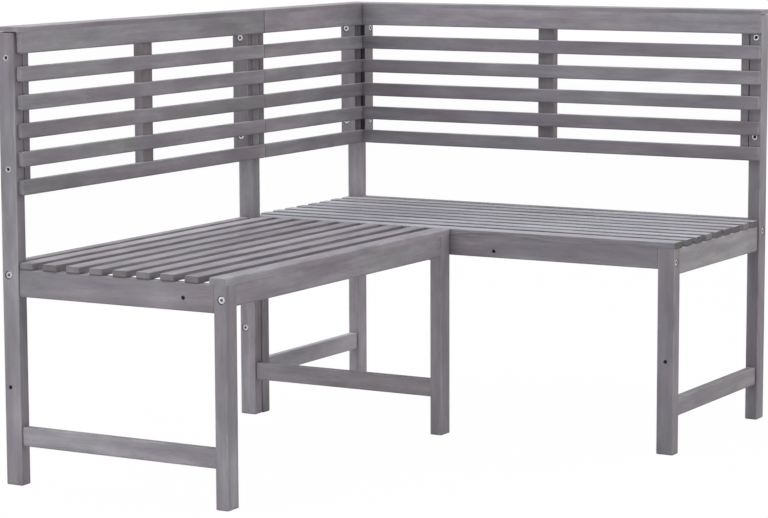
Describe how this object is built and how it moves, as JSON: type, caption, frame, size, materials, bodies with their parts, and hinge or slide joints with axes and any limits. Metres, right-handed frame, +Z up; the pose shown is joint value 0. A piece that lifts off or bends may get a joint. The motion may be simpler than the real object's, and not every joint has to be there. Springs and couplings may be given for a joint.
{
  "type": "corner bench",
  "caption": "L-shaped slatted wooden corner bench with slatted backs, two four-legged benches bolted together at the corner.",
  "frame": {"origin": "on the floor, at the middle of the whole bench's length and width", "axes": "+X along the main bench from the corner to its open end, +Y from the side bench's open end to the back of the main bench, +Z up"},
  "size_m": [1.042, 1.373, 0.9],
  "materials": {
    "frame_wood": "grey-washed, matt",
    "seat_wood": "grey-washed, matt",
    "back_wood": "grey-washed, matt",
    "zinc_steel": "zinc plated"
  },
  "bodies": {
    "root": {"barrel_nuts": "zinc_steel", "corner_back_cap": "back_wood", "corner_back_corner_stile": "frame_wood", "corner_back_joint_stile": "frame_wood", "corner_back_slats": "back_wood", "corner_back_top_rail": "back_wood", "hex_socket_bolts": "zinc_steel", "main_back_cap": "back_wood", "main_back_corner_stile": "frame_wood", "main_back_end_stile": "frame_wood", "main_back_middle_stile": "frame_wood", "main_back_slats": "back_wood", "main_back_top_rail": "back_wood", "main_corner_leg": "frame_wood", "main_corner_post": "frame_wood", "main_corner_rail": "frame_wood", "main_corner_stretcher": "frame_wood", "main_end_leg": "frame_wood", "main_end_post": "frame_wood", "main_end_rail": "frame_wood", "main_end_stretcher": "frame_wood", "main_front_rail": "frame_wood", "main_rear_rail": "frame_wood", "main_seat_slat_1": "seat_wood", "main_seat_slat_2": "seat_wood", "main_seat_slat_3": "seat_wood", "main_seat_slat_4": "seat_wood", "main_seat_slat_5": "seat_wood", "main_seat_slat_6": "seat_wood", "main_seat_slat_7": "seat_wood", "main_seat_slat_8": "seat_wood", "main_seat_slat_9": "seat_wood", "seat_supports": "frame_wood", "side_back_cap": "back_wood", "side_back_end_stile": "frame_wood", "side_back_joint_stile": "frame_wood", "side_back_middle_stile": "frame_wood", "side_back_slats": "back_wood", "side_back_top_rail": "back_wood", "side_end_leg": "frame_wood", "side_end_post": "frame_wood", "side_end_rail": "frame_wood", "side_end_stretcher": "frame_wood", "side_front_rail": "frame_wood", "side_joint_leg": "frame_wood", "side_joint_post": "frame_wood", "side_joint_rail": "frame_wood", "side_joint_stretcher": "frame_wood", "side_rear_rail": "frame_wood", "side_seat_slat_1": "seat_wood", "side_seat_slat_2": "seat_wood", "side_seat_slat_3": "seat_wood", "side_seat_slat_4": "seat_wood", "side_seat_slat_5": "seat_wood", "side_seat_slat_6": "seat_wood", "side_seat_slat_7": "seat_wood", "side_seat_slat_8": "seat_wood", "side_seat_slat_9": "seat_wood", "slat_screws": "zinc_steel", "threaded_inserts": "zinc_steel"}
  },
  "joints": []
}
